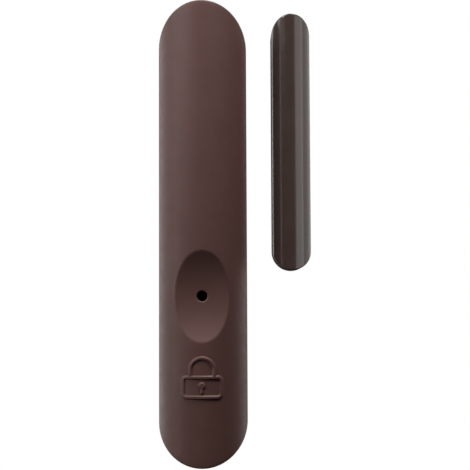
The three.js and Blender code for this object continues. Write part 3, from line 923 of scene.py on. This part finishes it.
def tamper_switch():
    """The switch that the closed cover presses through a flanged pin and a spring."""
    switch_body("tamper_switch_body", 1.7)
    pin, shaft = Extent("tamper_plunger"), 1.5
    profile = [(AXIS, pin.foot), (shaft, pin.foot), (shaft, pin.top - 0.9), (pin.half, pin.top - 0.9),
               (pin.half, pin.top - 0.3), (shaft, pin.top - 0.3), (shaft, pin.top), (AXIS, pin.top)]
    make("plunger_pin", lathe(rounded(profile, 0.12), pin.x, pin.z, 40), IVORY, "ivory_plastic",
         "tamper_plunger", body="tamper")
    coil, gauge = Extent("tamper_spring"), 0.2
    start, stop = coil.foot + gauge, coil.top - gauge
    points = helix((pin.x, start, pin.z), "out", (2.0, 2.0), 3.5, stop - start)
    spring = solid("plunger_spring", wire(points, gauge, 10))
    shade(spring, NICKEL)
    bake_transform(spring)
    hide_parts("tamper_spring")


def learn_button():
    switch_body("learn_button_body", 1.9)
    cap = Extent("learn_button_cap")
    make("learn_cap", lathe(rounded(plug(cap.foot, cap.top, cap.half), 0.3, 4), cap.x, cap.z, 40), RED,
         "red_plastic", "learn_button_cap", body="button")


def status_lamp():
    box = Extent("status_led")
    make("lamp_package", block(box, SOLDERED, BOARD.top + 0.9, 0.08), IVORY, "clear_lens", "status_led")
    dome = rounded(plug(BOARD.top + 0.8, box.top, 0.68, 0.62), 0.5, 5)
    make("lamp_lens", lathe(dome, box.x, box.z, 32), LENS, "clear_lens")


# ---- parts on the board

def gull_leg(x, z, turn, reach):
    """One bent leg of a chip, pointing along a turn in the board's plane."""
    path = [(reach - 1.15, 0.62), (reach - 0.75, 0.6), (reach - 0.55, 0.2), (reach, 0.14)]
    c, s = cos(turn), sin(turn)
    return loft([
        [(x + along * c - across * s, BOARD.top + up + lift, z + along * s + across * c)
         for across, lift in corners(0.17, 0.07)]
        for along, up in path
    ])


def microcontroller():
    box, half = Extent("microcontroller"), 3.5
    x, z = box.x, box.z
    package = solid("controller_package", cuboid((x - half, BOARD.top + 0.25, z - half),
                                                 (x + half, box.top, z + half), 0.18))
    cut(package, bore(x - half + 0.9, z + half - 0.9, 0.35, box.top - 0.08, box.top + 1, 24))
    finish(package, BLACK, "black_plastic", "microcontroller")
    legs = []
    for quarter in range(4):
        turn = quarter * pi / 2
        for index in range(6):
            offset = (index - 2.5) * 0.95
            legs.append(gull_leg(x - offset * sin(turn), z + offset * cos(turn), turn, box.half))
    make("controller_legs", merged(*legs), TIN, "nickel_plate")


def crystal_can():
    """A pressed can with round ends on a flanged foot."""
    box = Extent("crystal")
    profile = [(0, SOLDERED), (0, BOARD.top + 0.5), (0.3, BOARD.top + 0.55), (0.3, box.top - 0.5),
               (0.4, box.top - 0.2), (0.7, box.top)]
    straight = box.length / 2 - box.half
    rings = [stadium(box.x, out, box.z, box.half - inset, straight) for inset, out in profile]
    make("crystal_can", loft(rings), NICKEL, "nickel_plate", "crystal")


def buffer_capacitor():
    """An aluminium can with a crimped waist on a black foot."""
    box, start, radius = Extent("buffer_capacitor"), BOARD.top + 1, 3.1
    make("capacitor_foot", block(box, SOLDERED, start, 0.3), BLACK, "black_plastic")
    can = rounded([(AXIS, start), (radius, start), (radius, start + 0.6), (2.85, start + 0.9),
                   (radius, start + 1.2), (radius, box.top - 0.15), (2.7, box.top - 0.15), (2.6, box.top),
                   (AXIS, box.top)], 0.18)
    make("capacitor_can", lathe(can, box.x, box.z, 56), ALUMINIUM, "can_aluminium", "buffer_capacitor")


def chip_parts():
    """Chip capacitors and resistors, each with two tinned ends."""
    end = 0.42
    for node in sorted(n for n in frame["nodes"] if n.startswith("chip_")):
        box = Extent(node)
        material, slot = (TAN, "chip_ceramic") if "capacitor" in node else (BLACK, "black_plastic")
        make(node + "_body", block(box, SOLDERED, box.top - 0.03, 0.05, 0.03, end), material, slot, node)
        ends = [cuboid((box.left, SOLDERED, z), (box.right, box.top, z + end), 0.06)
                for z in (box.lower, box.upper - end)]
        make(node + "_ends", merged(*ends), TIN, "nickel_plate")


def radio():
    """The radio board's perforated shield and its edge contacts."""
    box, thick = Extent("radio_shield"), 0.2
    lid = solid("shield_can", block(box, box.foot, box.top, 0.25))
    vents = [
        bore(box.left + 1.8 + 2.1 * i, box.lower + 1.8 + 2.45 * j, 0.35, box.top - 1, box.top + 1, 20)
        for i in range(4)
        for j in range(4)
    ]
    cut(lid, block(box, box.foot - 1, box.top - thick, 0.1, thick, thick), *vents)
    finish(lid, NICKEL, "nickel_plate", "radio_shield")
    board = Extent("radio_board")
    pads = []
    for index in range(9):
        z = board.lower + 1 + index * 1.7
        for x in (board.left - 0.25, board.right - 0.25):
            pads.append(cuboid((x, BOARD.top + 0.02, z), (x + 0.5, board.top + 0.03, z + 0.8), 0.05))
    make("radio_castellations", merged(*pads), TIN, "nickel_plate")


def antenna():
    box, gauge = Extent("antenna_coil"), 0.4
    radius = box.length / 2 - gauge
    length = box.right - box.left - 2 * gauge
    coil = helix((box.left + gauge, box.out, box.z), "x", (radius, radius), 6, length)
    make("antenna_wire", wire(coil, gauge), COPPER, "copper_wire", "antenna_coil")


def diode():
    """A diode package with a cathode band and two folded tabs."""
    box, foot = Extent("protection_diode"), BOARD.top
    make("diode_package", block(box, foot + 0.3, box.top, 0.2, 0, 0.55), BLACK, "black_plastic",
         "protection_diode")
    tabs = [cuboid((box.x - 0.7, SOLDERED, a), (box.x + 0.7, foot + 0.5, b), 0.06)
            for a, b in ((box.lower, box.lower + 0.9), (box.upper - 0.9, box.upper))]
    band = cuboid((box.left - 0.01, foot + 0.5, box.upper - 1.4),
                  (box.right + 0.01, box.top + 0.01, box.upper - 1.0), 0.02)
    make("diode_tabs", merged(*tabs), TIN, "nickel_plate")
    make("diode_band", band, IVORY, "black_plastic")


def trace(points, width=0.32, up=0.035, sunk=0.05):
    """A flat copper track under the mask, along points (x, z)."""
    rings = []
    for index, (x, z) in enumerate(points):
        before, after = Vector(points[max(index - 1, 0)]), Vector(points[min(index + 1, len(points) - 1)])
        along = (after - before).normalized()
        side = Vector((-along.y, along.x)) * width / 2
        rings.append([(x + turn * side.x, BOARD.top + lift, z + turn * side.y)
                      for turn, lift in ((1, up), (-1, up), (-1, -sunk), (1, -sunk))])
    return loft(rings)


def board_copper():
    """Tracks that join the parts in straight runs with 45 degree corners, and vias between them."""
    tracks = []

    def run(x0, z0, x1, z1):
        slant = min(abs(x1 - x0), abs(z1 - z0))
        turn_x = x1 if abs(x1 - x0) <= abs(z1 - z0) else x0 + copysign(slant, x1 - x0)
        turn_z = z0 + copysign(slant, z1 - z0)
        tracks.append(trace([(x0, z0), (turn_x, turn_z), (x1, z1)]))

    for lane in range(4):
        for side in (-1, 1):
            x = side * (8.4 - 0.62 * lane)
            run(x, -2.8, x, -22 - lane)
    for lane in range(6):
        run(-5.8 + 0.95 * lane, 18.2, -1.2 + 0.7 * lane, 27.6)
        run(-5.8 + 0.95 * lane, 8.6, -6.6 + 0.6 * lane, 6.0)
    for lane in range(3):
        run(4.4 + 0.7 * lane, 38.5, 5.2 + 0.7 * lane, 52.5)
        run(2.6 + 0.5 * lane, 12 + lane, 6.6, 17.6 + 0.5 * lane)
        run(-3 + lane, 45.2, -1 + lane, 46.4)
    make("board_tracks", merged(*tracks), TRACE, "board_laminate")

    ring = [(0.16, BOARD.top - 0.05), (0.36, BOARD.top - 0.05), (0.34, BOARD.top + 0.04),
            (0.18, BOARD.top + 0.04)]
    rng = random.Random(7)
    vias = []
    for _ in range(46):
        x, z = rng.uniform(-8.4, 8.4), rng.uniform(-28, 53)
        in_cutout = abs(x) < 5.6 and -24 < z < -4
        if not in_cutout:
            vias.append(lathe(ring, x, z, 14, closed=True))
    make("board_vias", merged(*vias), TIN, "nickel_plate")


def carried_over():
    """CAD nodes whose shape is right: better materials and softened edges."""
    for node, width in (("circuit_board", 0.12), ("radio_board", 0.06)):
        piece = frame["nodes"][node]
        piece.data.materials.clear()
        piece.data.materials.append(MASK)
        bevel = piece.modifiers.new("soft_edges", "BEVEL")
        bevel.width = width * MM
        bevel.segments = 2
        bevel.limit_method = "ANGLE"
        bevel.angle_limit = radians(40)


# ---- studio, in metres

TILT, ROLL = 3.3, -0.25
DISTANCE, FRAME_WIDTH, AIM = 0.35, 0.14234, (0.00977, -0.010, -0.0004)

# name, place, size, radiance; all face the origin
LIGHTS = (
    ("key", (-0.19, -0.18, 0.22), (0.10, 0.10), 15.2),
    ("high_right", (0.12, -0.12, 0.37), (0.15, 0.15), 25.0),
    ("left_panel", (-0.50, -0.16, 0.08), (0.20, 0.50), 2.9),
    ("left_edge", (-0.40, 0.35, 0.0), (0.40, 0.90), 1.75),
    ("right_edge", (0.40, 0.35, 0.0), (0.40, 0.90), 1.0),
)
MAGNET_LIGHTS = (
    ("magnet_panel", (0.50, -0.02, 0.0), (0.42, 0.50), 1.0),
    ("magnet_high", (-0.34, -0.34, 0.45), (0.30, 0.30), 5.1),
    ("magnet_front", (0.50, -0.42, 0.06), (0.56, 0.50), 1.95),
)


def facing(place, look):
    """A pose at a place whose -Z axis points along look."""
    return Matrix.Translation(place) @ look.to_track_quat("-Z", "Y").to_matrix().to_4x4()


def camera():
    data = bpy.data.cameras.new("camera")
    data.sensor_width = 36
    data.lens = data.sensor_width * DISTANCE / FRAME_WIDTH
    data.clip_start = 0.01
    data.clip_end = 20
    tilt = radians(TILT)
    look = Vector((0, cos(tilt), sin(tilt)))
    roll = Matrix.Rotation(radians(ROLL), 4, "Z")
    SCENE.camera = placed("camera", data)
    SCENE.camera.matrix_world = facing(Vector(AIM) - look * DISTANCE, look) @ roll


def area_light(name, place, size, radiance):
    """A soft box of a given brightness that faces the origin."""
    data = bpy.data.lights.new(name, "AREA")
    data.shape = "RECTANGLE"
    data.size, data.size_y = size
    data.energy = radiance * pi * size[0] * size[1]
    light = placed(name, data)
    light.matrix_world = facing(Vector(place), -Vector(place))
    return light


def world():
    """White behind the object, and a dim surround that lights it."""
    SCENE.world = bpy.data.worlds.new("studio")
    SCENE.world.use_nodes = True
    background = set_inputs(SCENE.world.node_tree.nodes["Background"], Color=(1, 1, 1, 1))
    path = add_node(SCENE.world, "LightPath")
    level = add_node(SCENE.world, "MapRange", To_Min=0.04, To_Max=1.0)
    link(SCENE.world, path.outputs["Is Camera Ray"], level, "Value")
    link(SCENE.world, level.outputs["Result"], background, "Strength")


def floor(half=520, top=-171, thick=4):
    """A pale floor that doesn't light the object, so that the scoop keeps its shadow. Millimetres."""
    rings = [[(x, -y, z) for x, y in corners(half, half)] for z in (top - thick, top)]
    pale = moulded("pale_floor", (0.6, 0.6, 0.6), 0.7, 3, 0.02, 0.01)
    set_inputs(pale.node_tree.nodes["Principled BSDF"], Emission_Color=(1, 1, 1, 1), Emission_Strength=0.55)
    slab = solid("floor", loft(rings))
    shade(slab, pale)
    slab.visible_diffuse = False
    slab.visible_glossy = False


def studio(magnet_pieces):
    """Soft lights; the glossier magnet unit has a few of its own."""
    world()
    floor()
    for row in LIGHTS:
        area_light(*row)
    lit = bpy.data.collections.new("magnet_unit")
    for piece in magnet_pieces:
        lit.objects.link(piece)
    for row in MAGNET_LIGHTS:
        area_light(*row).light_linking.receiver_collection = lit
    SCENE.view_settings.view_transform = "Standard"


# ---- assembly

camera()
transmitter_cover()
transmitter_base()
magnet_housing = [magnet_cover(), magnet_base()]
bar_magnet()
cover_fastening()
board_screws()
battery()
reed_switch()
tamper_switch()
learn_button()
status_lamp()
microcontroller()
crystal_can()
buffer_capacitor()
chip_parts()
radio()
antenna()
diode()
board_copper()
carried_over()
studio(magnet_housing)
